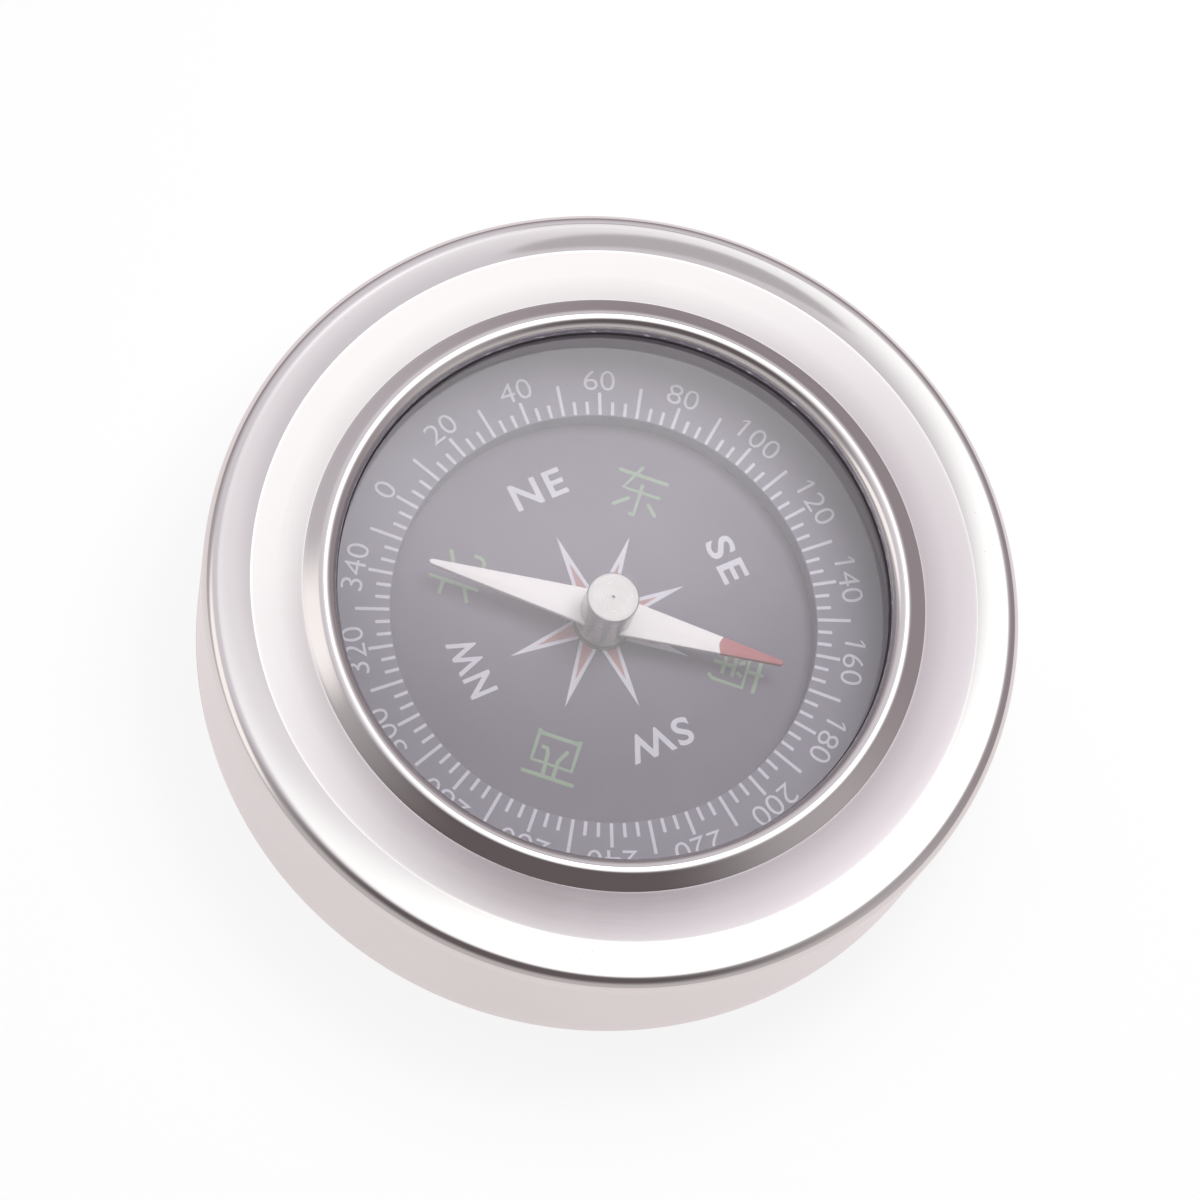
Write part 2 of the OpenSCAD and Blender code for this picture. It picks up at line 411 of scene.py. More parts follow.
def make_handling():
    """Faint smudges of handling and small dust flecks."""
    group, given, out = new_group("handling", [("Smudge Scale", 90.0), ("Fleck Scale", 2200.0)],
                                  ["Smudge", "Fleck"])
    place = object_place(group)
    soft = new_node(group, "ShaderNodeTexNoise", Detail=4.0, Roughness=0.55)
    group.links.new(place, soft.inputs["Vector"])
    group.links.new(given.outputs["Smudge Scale"], soft.inputs["Scale"])
    group.links.new(mapped(group, soft.outputs[0], *SMUDGE_RANGE, 0.0, 1.0, True), out.inputs["Smudge"])
    fine = new_node(group, "ShaderNodeTexVoronoi", Randomness=1.0)
    group.links.new(place, fine.inputs["Vector"])
    group.links.new(given.outputs["Fleck Scale"], fine.inputs["Scale"])
    patches = new_node(group, "ShaderNodeTexNoise", Scale=FLECK_PATCH_SCALE, Detail=1.0)
    group.links.new(place, patches.inputs["Vector"])
    dot = mapped(group, fine.outputs["Distance"], *FLECK_RANGE, 1.0, 0.0)
    some = mapped(group, patches.outputs[0], *FLECK_PATCHES, 0.0, 1.0)
    group.links.new(math_node(group, "MULTIPLY", dot, some), out.inputs["Fleck"])
    return group


def make_printed_film():
    """Fine mottling and tooth of screen-printed ink or a moulded face."""
    group, given, out = new_group("printed_film", [("Tooth Scale", 12000.0), ("Mottle Scale", 500.0)],
                                  ["Tooth", "Mottle"])
    place = object_place(group)
    for label, name, detail in (("Tooth Scale", "Tooth", 2.0), ("Mottle Scale", "Mottle", 4.0)):
        texture = new_node(group, "ShaderNodeTexNoise", Detail=detail, Roughness=0.6)
        group.links.new(place, texture.inputs["Vector"])
        group.links.new(given.outputs[label], texture.inputs["Scale"])
        group.links.new(mapped(group, texture.outputs[0], *NOISE_RANGE, 0.0, 1.0), out.inputs[name])
    return group


TURNED_GRAIN = make_turned_grain()
HANDLING = make_handling()
PRINTED_FILM = make_printed_film()


# Materials

def new_material(name, **constants):
    """Makes a material with a Principled shader whose plain values are set on its own sockets."""
    material = bpy.data.materials.new(name)
    material.use_nodes = True
    shader = material.node_tree.nodes["Principled BSDF"]
    for label, value in constants.items():
        shader.inputs[label.replace("_", " ")].default_value = value
    return material, material.node_tree, shader


def add_bump(tree, shader, height, distance):
    """Feeds a height through a bump node to the shader's normal."""
    bump = new_node(tree, "ShaderNodeBump", Strength=1.0, Distance=distance)
    tree.links.new(height, bump.inputs["Height"])
    tree.links.new(bump.outputs[0], shader.inputs["Normal"])


def add_satin(tree, shade, gloss):
    """Lays the hazy satin band of the flange over a colour and a roughness, with painted shade that darkens
    the colour toward the crease.
    """
    x, y, z = object_axes(tree)
    radius = span(tree, x, y)
    begins = mapped(tree, radius, CREASE_R, CREASE_R + SATIN_START, 0, 1)
    ends = mapped(tree, radius, RIDGE_AT - SATIN_FADE, RIDGE_AT + SATIN_PAST, 1, 0, True)
    above = mapped(tree, z, SATIN_LOW, SATIN_LOW + SATIN_RISE, 0, 1)
    band = math_node(tree, "MULTIPLY", math_node(tree, "MULTIPLY", begins, ends), above)
    # Painted shade: the colour goes from the darker crease tone to the band's own tone halfway to the ridge
    outward = mapped(tree, radius, CREASE_R, (CREASE_R + RIDGE_AT) / 2, 0, 1)
    shade = mixed(tree, band, shade, mixed(tree, outward, SATIN_CREASE_SHADE, SATIN_FAIR))
    gloss = math_node(tree, "ADD", gloss, math_node(tree, "MULTIPLY", band, SATIN_HAZE))
    return shade, gloss


def turned_metal(name, colour, worn, roughness, lines, streak, depth, satin=False):
    """Bright metal with fine lines round the axis and the marks of handling, and perhaps a satin band whose
    colour darkens toward the crease as painted shade.
    """
    material, tree, shader = new_material(name, Metallic=1.0)
    grain = use_group(tree, TURNED_GRAIN, Lines=lines, Streak=streak)
    marks = use_group(tree, HANDLING)
    shade = mixed(tree, mapped(tree, marks.outputs["Smudge"], 0, 1, 0, SMUDGE_SHARE), colour, worn)
    shade = mixed(tree, math_node(tree, "MULTIPLY", marks.outputs["Fleck"], FLECK_SHARE), shade, FLECK_TONE)
    spread = [roughness * share for share in GRAIN_GLOSS]
    lined = mapped(tree, grain.outputs["Grain"], *NOISE_RANGE, *spread)
    touched = mapped(tree, marks.outputs["Smudge"], 0, 1, 0, SMUDGE_HAZE)
    scratched = math_node(tree, "MULTIPLY", grain.outputs["Scratch"], SCRATCH_HAZE)
    gloss = math_node(tree, "ADD", math_node(tree, "ADD", lined, touched), scratched)
    if satin:
        shade, gloss = add_satin(tree, shade, gloss)
    tree.links.new(shade, shader.inputs["Base Color"])
    tree.links.new(gloss, shader.inputs["Roughness"])
    add_bump(tree, shader, grain.outputs["Grain"], depth)
    return material


def printed_face(name, colour, light, roughness, tooth=12000.0):
    """Matt printed or moulded face with a little mottling."""
    material, tree, shader = new_material(name)
    film = use_group(tree, PRINTED_FILM, Tooth_Scale=tooth)
    tree.links.new(mixed(tree, film.outputs["Mottle"], colour, light), shader.inputs["Base Color"])
    gloss = mapped(tree, film.outputs["Tooth"], 0, 1, roughness - PRINT_GLOSS, roughness + PRINT_GLOSS)
    tree.links.new(gloss, shader.inputs["Roughness"])
    add_bump(tree, shader, film.outputs["Tooth"], PRINT_TOOTH)
    return material


def clear_glass():
    """Clear glass that lets lamp light and scattered light straight through to the dial."""
    material, tree, shader = new_material("clear_glass", Base_Color=(1, 1, 1, 1),
                                          Transmission_Weight=1.0, IOR=1.58)
    marks = use_group(tree, HANDLING, Smudge_Scale=70.0)
    tree.links.new(mapped(tree, marks.outputs["Smudge"], 0, 1, 0.0, GLASS_HAZE), shader.inputs["Roughness"])
    rays = tree.nodes.new("ShaderNodeLightPath")
    through = tree.nodes.new("ShaderNodeBsdfTransparent")
    choose = tree.nodes.new("ShaderNodeMixShader")
    straight = math_node(tree, "MAXIMUM", rays.outputs["Is Shadow Ray"], rays.outputs["Is Diffuse Ray"])
    tree.links.new(straight, choose.inputs[0])
    tree.links.new(shader.outputs[0], choose.inputs[1])
    tree.links.new(through.outputs[0], choose.inputs[2])
    tree.links.new(choose.outputs[0], tree.nodes["Material Output"].inputs[0])
    return material


def needle_paint():
    """White paint with a red end whose edge is bowed and a little uneven, as if dipped."""
    material, tree, shader = new_material("needle_paint", Coat_Weight=0.15, Coat_Roughness=0.2)
    film = use_group(tree, PRINTED_FILM, Tooth_Scale=5000.0, Mottle_Scale=900.0)
    x, y, _ = object_axes(tree)
    bow = math_node(tree, "MULTIPLY", math_node(tree, "MULTIPLY", x, x), RED_BOW)
    wobble = mapped(tree, film.outputs["Mottle"], 0, 1, -RED_WOBBLE, RED_WOBBLE)
    along = math_node(tree, "ADD", math_node(tree, "ADD", y, bow), wobble)
    red = mapped(tree, along, -RED_FROM - RED_SOFT, -RED_FROM + RED_SOFT, 1.0, 0.0)
    white = mixed(tree, film.outputs["Mottle"], *PAINT_WHITE)
    dipped = mixed(tree, film.outputs["Mottle"], *PAINT_RED)
    tree.links.new(mixed(tree, red, white, dipped), shader.inputs["Base Color"])
    tree.links.new(mapped(tree, film.outputs["Tooth"], 0, 1, *PAINT_GLOSS), shader.inputs["Roughness"])
    add_bump(tree, shader, film.outputs["Tooth"], PAINT_TOOTH)
    return material


STEEL = turned_metal("polished_steel", (0.81, 0.803, 0.797), (0.77, 0.763, 0.757), roughness=0.07,
                     lines=7000.0, streak=2.5, depth=0.0003 * MM, satin=True)
HUB_METAL = turned_metal("bright_hub", (0.55, 0.53, 0.525), (0.5, 0.48, 0.475), roughness=0.3,
                         lines=14000.0, streak=1.2, depth=0.002 * MM)
PIN_STEEL = turned_metal("ground_pin", (0.62, 0.62, 0.63), (0.5, 0.5, 0.51), roughness=0.22,
                         lines=16000.0, streak=1.0, depth=0.001 * MM)
# Plated brass, made dark partly as painted shade for the shade that falls on the bush under the hub
PLATED_BRASS_WITH_SHADE = turned_metal("plated_brass_with_shade", (0.34, 0.32, 0.33), (0.28, 0.26, 0.26), roughness=0.3,
                            lines=12000.0, streak=1.0, depth=0.002 * MM)
DIAL_FACE = printed_face("dial_face", (0.202, 0.177, 0.232), (0.22, 0.195, 0.25), 0.5)
RING_FACE = printed_face("ring_face", (0.25, 0.229, 0.29), (0.268, 0.247, 0.308), 0.48)
SPACER_FACE = printed_face("spacer_face", (0.29, 0.268, 0.303), (0.32, 0.293, 0.333), 0.4, 6000.0)
CARRIER_FACE = printed_face("carrier_face", (0.035, 0.035, 0.04), (0.05, 0.05, 0.055), 0.5, 4000.0)
RUBBER = printed_face("gasket_rubber", (0.035, 0.032, 0.035), (0.05, 0.047, 0.05), 0.6, 8000.0)
BEARING = printed_face("bearing_jewel", (0.45, 0.08, 0.1), (0.55, 0.12, 0.14), 0.15, 3000.0)
WHITE_INK = printed_face("white_ink", (0.64, 0.63, 0.71), (0.69, 0.68, 0.76), 0.5)
GREEN_INK = printed_face("green_ink", (0.3, 0.4, 0.3), (0.34, 0.44, 0.33), 0.5)
RED_INK = printed_face("red_ink", (0.46, 0.25, 0.26), (0.5, 0.28, 0.29), 0.5)
GLASS = clear_glass()
NEEDLE_PAINT = needle_paint()


# Mesh helpers

def place_piece(mesh, name, body, material, node=None):
    """Links a mesh as a piece that rides on a body, and lets it stand for a CAD node if one is named."""
    piece = bpy.data.objects.new(name, mesh)
    bpy.context.collection.objects.link(piece)
    mesh.materials.append(material)
    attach(piece, body)
    if node:
        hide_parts(node)


def finish_mesh(bm, name, sharp=SHARP_ANGLE):
    """Turns a bmesh into a smooth mesh with sharp edges above an angle."""
    bmesh.ops.recalc_face_normals(bm, faces=bm.faces)
    mesh = bpy.data.meshes.new(name)
    bm.to_mesh(mesh)
    bm.free()
    mesh.shade_smooth()
    mesh.set_sharp_from_angle(angle=math.radians(sharp))
    return mesh


def arc(centre, radius, start, end, steps):
    """Points of an arc in a plane, with angles in degrees from the direction of its first axis."""
    points = []
    for step in range(steps + 1):
        turn = math.radians(start + (end - start) * step / steps)
        points.append((centre[0] + radius * math.cos(turn), centre[1] + radius * math.sin(turn)))
    return points


def lathe(name, outline, steps=TURN_STEPS):
    """Closed solid of revolution about the upright axis from a closed outline of (radius, height) points."""
    bm = bmesh.new()
    turns = [2 * math.pi * step / steps for step in range(steps)]
    rows = []
    for radius, height in outline:
        if radius < TOUCHING:
            rows.append([bm.verts.new((0, 0, height))])
            continue
        rows.append([bm.verts.new((radius * math.cos(a), radius * math.sin(a), height)) for a in turns])
    for index, row in enumerate(rows):
        other = rows[(index + 1) % len(rows)]
        if len(row) == 1 and len(other) == 1:
            continue
        for step in range(steps):
            following = (step + 1) % steps
            corners = [row[step % len(row)], row[following % len(row)],
                       other[following % len(other)], other[step % len(other)]]
            bm.faces.new(list(dict.fromkeys(corners)))
    return finish_mesh(bm, name)


def slab(bm, outline, low, high):
    """Adds an upright prism over a flat outline."""
    bottom = [bm.verts.new((x, y, low)) for x, y in outline]
    top = [bm.verts.new((x, y, high)) for x, y in outline]
    bm.faces.new(list(reversed(bottom)))
    bm.faces.new(top)
    for index in range(len(outline)):
        after = (index + 1) % len(outline)
        bm.faces.new((bottom[index], bottom[after], top[after], top[index]))


def thicken(bm, lift):
    """Gives a flat mesh a thickness, upward or downward."""
    raised = bmesh.ops.extrude_face_region(bm, geom=list(bm.faces))
    moved = [item for item in raised["geom"] if isinstance(item, bmesh.types.BMVert)]
    bmesh.ops.translate(bm, verts=moved, vec=(0, 0, lift))


def mesh_of(curve):
    """Turns lettering or pen strokes into a mesh, and removes the curve."""
    holder = bpy.data.objects.new("ink", curve)
    bpy.context.collection.objects.link(holder)
    bpy.context.view_layer.update()
    mesh = bpy.data.meshes.new_from_object(holder.evaluated_get(bpy.context.evaluated_depsgraph_get()))
    bpy.data.objects.remove(holder)
    bpy.data.curves.remove(curve)
    return mesh


def bearing(degrees, zero=0.0):
    """Unit vectors outward and clockwise at a compass bearing, counted from +Y plus zero."""
    turn = math.radians(90 - degrees - zero)
    outward = Vector((math.cos(turn), math.sin(turn)))
    return outward, Vector((outward.y, -outward.x))


def mark_matrix(degrees, zero, radius, height, shift=Vector((0, 0))):
    """Places upright lettering at a bearing from a centre, with its top outward."""
    outward, clockwise = bearing(degrees, zero)
    place = outward * radius + shift
    return Matrix(((clockwise.x, outward.x, 0, place.x),
                   (clockwise.y, outward.y, 0, place.y),
                   (0, 0, 1, height),
                   (0, 0, 0, 1)))


# Case

def tilted(degrees):
    """Unit vector in the half section that leans outward from the upright by an angle."""
    turn = math.radians(degrees)
    return Vector((math.sin(turn), math.cos(turn)))


def case_outline():
    """Closed outline of the drawn sheet: outside from foot to lip, then back along the inside."""
    ridge = Vector((RIDGE_AT, RIDGE_TOP - RIDGE_R))
    shoulder_at = CASE_R - SHOULDER_R
    hollow_end_at = shoulder_at + SHOULDER_R * tilted(SHOULDER_TILT).x
    hollow_run = hollow_end_at - ridge.x - RIDGE_R * tilted(HOLLOW_TILT).x
    hollow_r = hollow_run / (tilted(HOLLOW_TILT).x - tilted(SHOULDER_TILT).x)
    hollow = ridge + tilted(HOLLOW_TILT) * (RIDGE_R + hollow_r)
    shoulder = hollow - tilted(SHOULDER_TILT) * (hollow_r + SHOULDER_R)
    start = Vector((CREASE_R, CREASE_Z))
    gap = ridge - start
    reach = FLANGE_R ** 2 + gap.length_squared - (FLANGE_R - RIDGE_R) ** 2
    turn = math.atan2(gap.y, gap.x) - math.acos(reach / (2 * FLANGE_R * gap.length))
    flange = start + Vector((math.cos(turn), math.sin(turn))) * FLANGE_R
    flange_tilt = math.degrees(math.atan2(ridge.x - flange.x, ridge.y - flange.y))
    lip = Vector((WINDOW_R + LIP_R, LIP_TOP - LIP_R))
    slant = start - lip
    cone_turn = math.atan2(slant.y, slant.x) + math.acos(LIP_R / slant.length)
    lean = Vector((math.cos(cone_turn), math.sin(cone_turn)))
    down = Vector((lean.y, -lean.x))

    def skin(inset):
        bead = LIP_R - inset
        dome = FLANGE_R - inset
        bowl = hollow_r + inset
        top = lip + lean * bead
        # The cone runs down from the lip until it meets the flange's circle
        across = (top - flange).dot(down)
        outside = (top - flange).length_squared - dome ** 2
        crease = top + down * (-across - math.sqrt(across ** 2 - outside))
        crease_turn = math.degrees(math.atan2(crease.y - flange.y, crease.x - flange.x))
        soft_turn = crease_turn - math.degrees(CREASE_SOFT / dome)
        # Inside, the ridge is a plain corner, because the sheet is thicker than the ridge is round
        edge = max(RIDGE_R - inset, 0.0)
        hollow_end = math.degrees(math.asin((hollow.x - ridge.x - edge * tilted(HOLLOW_TILT).x) / bowl))
        flange_end = math.degrees(math.asin((ridge.x + edge * tilted(flange_tilt).x - flange.x) / dome))
        rise = shoulder.y - FOOT_R
        points = [(CASE_R - inset, FOOT_R + rise * step / WALL_STEPS) for step in range(1, WALL_STEPS)]
        points += arc(shoulder, SHOULDER_R - inset, 0, 90 - SHOULDER_TILT, SHOULDER_STEPS)
        points += arc(hollow, bowl, 270 - SHOULDER_TILT, 270 - hollow_end, HOLLOW_STEPS)[1:]
        if edge:
            points += arc(ridge, edge, 90 - HOLLOW_TILT, 90 - flange_tilt, RIDGE_STEPS)[1:]
        points += arc(flange, dome, 90 - flange_end, soft_turn, FLANGE_STEPS)[1:]
        begin = Vector(points[-1])
        end = crease - down * CREASE_SOFT
        for step in range(1, CREASE_STEPS):
            part = step / CREASE_STEPS
            points.append(tuple(begin.lerp(crease, part).lerp(crease.lerp(end, part), part)))
        points += [tuple(end.lerp(top, step / CONE_STEPS)) for step in range(CONE_STEPS)]
        points += arc(lip, bead, math.degrees(cone_turn), 180, LIP_STEPS)
        return points + [(lip.x - bead, lip.y - LIP_DROP)]

    outside = arc((CASE_R - FOOT_R, FOOT_R), FOOT_R, -90, 0, FOOT_STEPS) + skin(0.0)
    inside = list(reversed(skin(SHEET)))
    foot = [(CASE_R - SHEET, SHEET), (CASE_R - FOOT_W, SHEET), (CASE_R - FOOT_W, 0.0)]
    return outside + inside + foot


def build_case():
    """Case shell and the seal of its window."""
    shell = lathe("case_skin", case_outline())
    place_piece(shell, "case_skin", CASE, STEEL, "case_shell")
    seal_r = WINDOW_R - SEAL_SHOWS
    seal_low = GLASS_TOP + SEAL_GAP
    seal_high = LIP_TOP - LIP_R - LIP_DROP - SEAL_GAP
    bulge = (seal_high - seal_low) / 2
    seal = [(GLASS_R, seal_low), (GLASS_R, seal_high)]
    seal += arc((seal_r + bulge, seal_low + bulge), bulge, 90, 270, SEAL_STEPS)
    place_piece(lathe("window_seal", seal), "window_seal", CASE, RUBBER, "gasket")


def build_inside():
    """Spacer wall and degree ring below the glass."""
    wall_r = TUBE_R - SPACER_WALL
    seat_low = GLASS_LOW - SEAT_T
    spacer = [(TUBE_R, RING_TOP), (TUBE_R, GLASS_LOW), (SEAT_R, GLASS_LOW), (SEAT_R, seat_low)]
    spacer += arc((wall_r - SPACER_FILLET, seat_low - SPACER_FILLET), SPACER_FILLET, 90, 0, EDGE_STEPS)
    spacer += [(wall_r, RING_TOP)]
    wall = lathe("spacer_wall", spacer)
    place_piece(wall, "spacer_wall", CASE, SPACER_FACE, "spacer_ring")
    ring = [(RING_R, DIAL_TOP), (TUBE_R, DIAL_TOP), (TUBE_R, RING_TOP)]
    ring += arc((RING_R + RING_EDGE, RING_TOP - RING_EDGE), RING_EDGE, 90, 180, EDGE_STEPS)
    place_piece(lathe("scale_ring", ring), "scale_ring", CASE, RING_FACE, "degree_ring")


def dress_carried_over():
    """Materials of the CAD nodes that stay as they are."""
    for node, material in (("base_plate", STEEL), ("carrier", CARRIER_FACE), ("dial_disc", DIAL_FACE),
                           ("glass", GLASS), ("pivot_bush", PLATED_BRASS_WITH_SHADE), ("pivot_pin", PIN_STEEL),
                           ("bearing_cup", BEARING)):
        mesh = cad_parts[node].data
        mesh.materials.clear()
        mesh.materials.append(material)


# Printing

def add_flag(ink):
    """Gives a leading figure one its short flag, against the top of its stem."""
    left = min(vert.co.x for vert in ink.verts)
    tall = max(vert.co.y for vert in ink.verts) - min(vert.co.y for vert in ink.verts)
    reach, drop, thick = (share * tall for share in FIGURE_FLAG)
    top = max(vert.co.y for vert in ink.verts if vert.co.x < left + thick / 4)
    end = left - reach
    corners = ((left, top), (end, top - drop), (end, top - drop - thick), (left, top - thick))
    ink.faces.new([ink.verts.new((x, y, 0)) for x, y in corners])


def lettering(bm, text, height, matrix, press=1.0, width=None, embolden=0.0, spacing=1.0):
    """Adds raised ink in the shape of figures or letters, centred, pressed wider or fitted to a width."""
    curve = bpy.data.curves.new("ink", "FONT")
    curve.body = text
    curve.align_x = "CENTER"
    curve.size = 1.0
    curve.offset = embolden
    curve.space_character = spacing
    curve.resolution_u = LETTER_STEPS
    mesh = mesh_of(curve)
    ink = bmesh.new()
    ink.from_mesh(mesh)
    bmesh.ops.remove_doubles(ink, verts=ink.verts, dist=INK_WELD)
    if text.startswith("1"):
        add_flag(ink)
    low = min(vert.co.y for vert in ink.verts)
    high = max(vert.co.y for vert in ink.verts)
    left = min(vert.co.x for vert in ink.verts)
    right = max(vert.co.x for vert in ink.verts)
    scale = height / (high - low)
    if width:
        press = width / (scale * (right - left))
    centring = Matrix.Translation((-(left + right) / 2, -(low + high) / 2, 0))
    ink.transform(matrix @ (Matrix.Diagonal((scale * press, scale, 1, 1)) @ centring))
    thicken(ink, INK_T)
    merged = bpy.data.meshes.new("ink")
    ink.to_mesh(merged)
    ink.free()
    bm.from_mesh(merged)
    bpy.data.meshes.remove(mesh)
    bpy.data.meshes.remove(merged)


def build_scale():
    """Ticks and figures of the degree ring."""
    ticks = bmesh.new()
    for index in range(round(360 / TICK_STEP)):
        outward, clockwise = bearing(index * TICK_STEP, SCALE_ZERO)
        end = TICK_SHORT
        if index % TICKS_IN_TEN == 0:
            end = TICK_MEDIUM if index % (2 * TICKS_IN_TEN) == 0 else TICK_LONG
        side = clockwise * TICK_W / 2
        inner = outward * TICK_START
        outer = outward * end
        corners = [inner - side, inner + side, outer + side, outer - side]
        slab(ticks, list(reversed([tuple(corner) for corner in corners])), RING_TOP, RING_TOP + INK_T)
    place_piece(finish_mesh(ticks, "scale_ticks"), "scale_ticks", CASE, WHITE_INK)
    figures = bmesh.new()
    for degrees in range(0, 360, FIGURE_STEP):
        place = mark_matrix(degrees, SCALE_ZERO, FIGURE_R, RING_TOP)
        lettering(figures, str(degrees), FIGURE_H, place, press=FIGURE_PRESS, embolden=FIGURE_THIN)
    place_piece(finish_mesh(figures, "scale_figures"), "scale_figures", CASE, WHITE_INK)


def pen_strokes(bm, strokes, size, matrix):
    """Adds flat raised strokes of constant width."""
    curve = bpy.data.curves.new("ink", "CURVE")
    curve.dimensions = "3D"
    curve.bevel_depth = SIGN_W / 2
    curve.bevel_resolution = PEN_STEPS
    curve.use_fill_caps = True
    for points in strokes:
        spline = curve.splines.new("POLY")
        spline.points.add(len(points) - 1)
        for point, (x, y) in zip(spline.points, points):
            point.co = (x * size / 2, y * size / 2, 0, 1)
    mesh = mesh_of(curve)
    flatten = Matrix.Diagonal((1, 1, 2 * INK_T / SIGN_W, 1))
    mesh.transform(matrix @ flatten)
    bm.from_mesh(mesh)
    bpy.data.meshes.remove(mesh)


def star_outline(tip, notch, shift):
    """Outline of a star with tips and notches in turn."""
    outline = []
    for index in range(2 * STAR_POINTS):
        outward, _ = bearing(index * 180 / STAR_POINTS, STAR_ZERO)
        outline.append(tuple(outward * (tip if index % 2 == 0 else notch) + shift))
    return list(reversed(outline))


def build_dial():
    """Letters, signs and star of the dial disc."""
    north, east = bearing(0, MARK_ZERO)
    shift = north * PRINT_NORTH
    marks = bmesh.new()
    for degrees, text, width in MARKS:
        place = mark_matrix(degrees, MARK_ZERO, MARK_R, DIAL_TOP, shift + east * MARKS_EAST)
        lettering(marks, text, MARK_H, place, width=width, embolden=MARK_BOLD, spacing=MARK_SPACING)
    place_piece(finish_mesh(marks, "dial_marks"), "dial_marks", CASE, WHITE_INK)
    signs = bmesh.new()
    for degrees, strokes in SIGNS.items():
        pen_strokes(signs, strokes, SIGN_SIZE, mark_matrix(degrees, SIGN_ZERO, SIGN_R, DIAL_TOP, shift))
    place_piece(finish_mesh(signs, "dial_signs"), "dial_signs", CASE, GREEN_INK)
    star = bmesh.new()
    slab(star, star_outline(STAR_TIP, STAR_NOTCH, shift), DIAL_TOP, DIAL_TOP + INK_T)
    place_piece(finish_mesh(star, "dial_star"), "dial_star", CASE, WHITE_INK)
    core = bmesh.new()
    slab(core, star_outline(STAR_CORE_TIP, STAR_CORE_NOTCH, shift), DIAL_TOP, DIAL_TOP + 2 * INK_T)
    place_piece(finish_mesh(core, "dial_star_core"), "dial_star_core", CASE, RED_INK)


# Needle

def blade_outline():
    """Outer outline of the needle: two tapered arms that leave a round eye."""
    half = NEEDLE_HIGH.y
    tip = TIP_W / 2
    root = Vector((ARM_W / 2, 0))
    end = Vector((tip, half - tip))
    way = (end - root).normalized()
    ahead = -root.dot(way)
    off = (root + way * ahead).length
    leave = root + way * (ahead + math.sqrt(EYE_R ** 2 - off ** 2))
    rise = math.degrees(math.atan2(leave.y, leave.x))
    right = arc((0, 0), EYE_R, rise, -rise, EYE_STEPS)
    points = [(0, half), tuple(end)] + right + [(tip, tip - half), (0, -half), (-tip, tip - half)]
    points += [(-x, y) for x, y in reversed(right)]
    points += [(-tip, half - tip)]
    return points


def build_blade():
    """Flat needle with a round hole, and its outer edges eased."""
    bm = bmesh.new()
    hole = arc((0, 0), NECK_R, 0, 360 - 360 / NECK_STEPS, NECK_STEPS - 1)
    rim = []
    for loop in (blade_outline(), hole):
        corners = [bm.verts.new((x, y, NEEDLE_HIGH.z)) for x, y in loop]
        rim += [bm.edges.new((corners[i], corners[(i + 1) % len(corners)])) for i in range(len(corners))]
    bmesh.ops.triangle_fill(bm, edges=rim, use_beauty=True)
    thicken(bm, NEEDLE_LOW.z - NEEDLE_HIGH.z)
    bmesh.ops.recalc_face_normals(bm, faces=bm.faces)
    outer = [edge for edge in bm.edges
             if len(edge.link_faces) == 2 and edge.calc_face_angle() > BLADE_EDGE_TURN
             and abs(edge.verts[0].co.z - edge.verts[1].co.z) < TOUCHING
             and edge.verts[0].co.xy.length > NECK_R * NECK_CLEAR]
    bmesh.ops.bevel(bm, geom=outer, offset=BLADE_EDGE, segments=BLADE_EDGE_STEPS, profile=0.5,
                    affect="EDGES")
    blade = finish_mesh(bm, "needle_arms", BLADE_SHARP_ANGLE)
    place_piece(blade, "needle_arms", NEEDLE, NEEDLE_PAINT, "needle_blade")


def build_hub():
    """Turned cap with a bore from below, a thin rim at its foot and a dimple in its top."""
    hub_r = HUB_HIGH.x
    top = HUB_HIGH.z
    low = NEEDLE_LOW.z - HUB_SKIRT
    foot = low + HUB_FOOT_T
    side = top - HUB_EDGE - foot
    flat = hub_r - HUB_EDGE - DIMPLE_R
    across, deep = (share * DIMPLE_R for share in DIMPLE_ROUND)
    cap = [(BORE_R, low), (HUB_FOOT_R, low), (HUB_FOOT_R, foot), (hub_r, foot)]
    cap += [(hub_r, foot + side * step / HUB_STEPS) for step in range(1, HUB_STEPS)]
    cap += arc((hub_r - HUB_EDGE, top - HUB_EDGE), HUB_EDGE, 0, 90, EDGE_STEPS)
    cap += [(DIMPLE_R + flat * step / HUB_STEPS, top) for step in reversed(range(1, HUB_STEPS))]
    cap += [(DIMPLE_R, top), (across, top - deep), (0, top - DIMPLE_R)]
    cap += [(0, top - HUB_ROOF), (BORE_R, top - HUB_ROOF)]
    hub = lathe("hub_cap", cap, HUB_TURN_STEPS)
    place_piece(hub, "hub_cap", NEEDLE, HUB_METAL, "needle_hub")


# Studio

def build_camera():
    """Camera at the photograph's place."""
    turn = Matrix.Rotation(VIEW_TURN, 3, "Z") @ Matrix.Rotation(VIEW_TILT, 3, "X")
    turn = turn @ Matrix.Rotation(VIEW_ROLL, 3, "Z")
    data = bpy.data.cameras.new("view")
    data.lens = LENS
    data.sensor_width = SENSOR
    data.sensor_fit = "HORIZONTAL"
    data.clip_start = CLIP_NEAR
    data.clip_end = CLIP_FAR
    camera = bpy.data.objects.new("view", data)
    bpy.context.collection.objects.link(camera)
    camera.matrix_world = Matrix.Translation(RIM_CENTRE - turn @ RIM_IN_VIEW) @ turn.to_4x4()
    bpy.context.scene.camera = camera


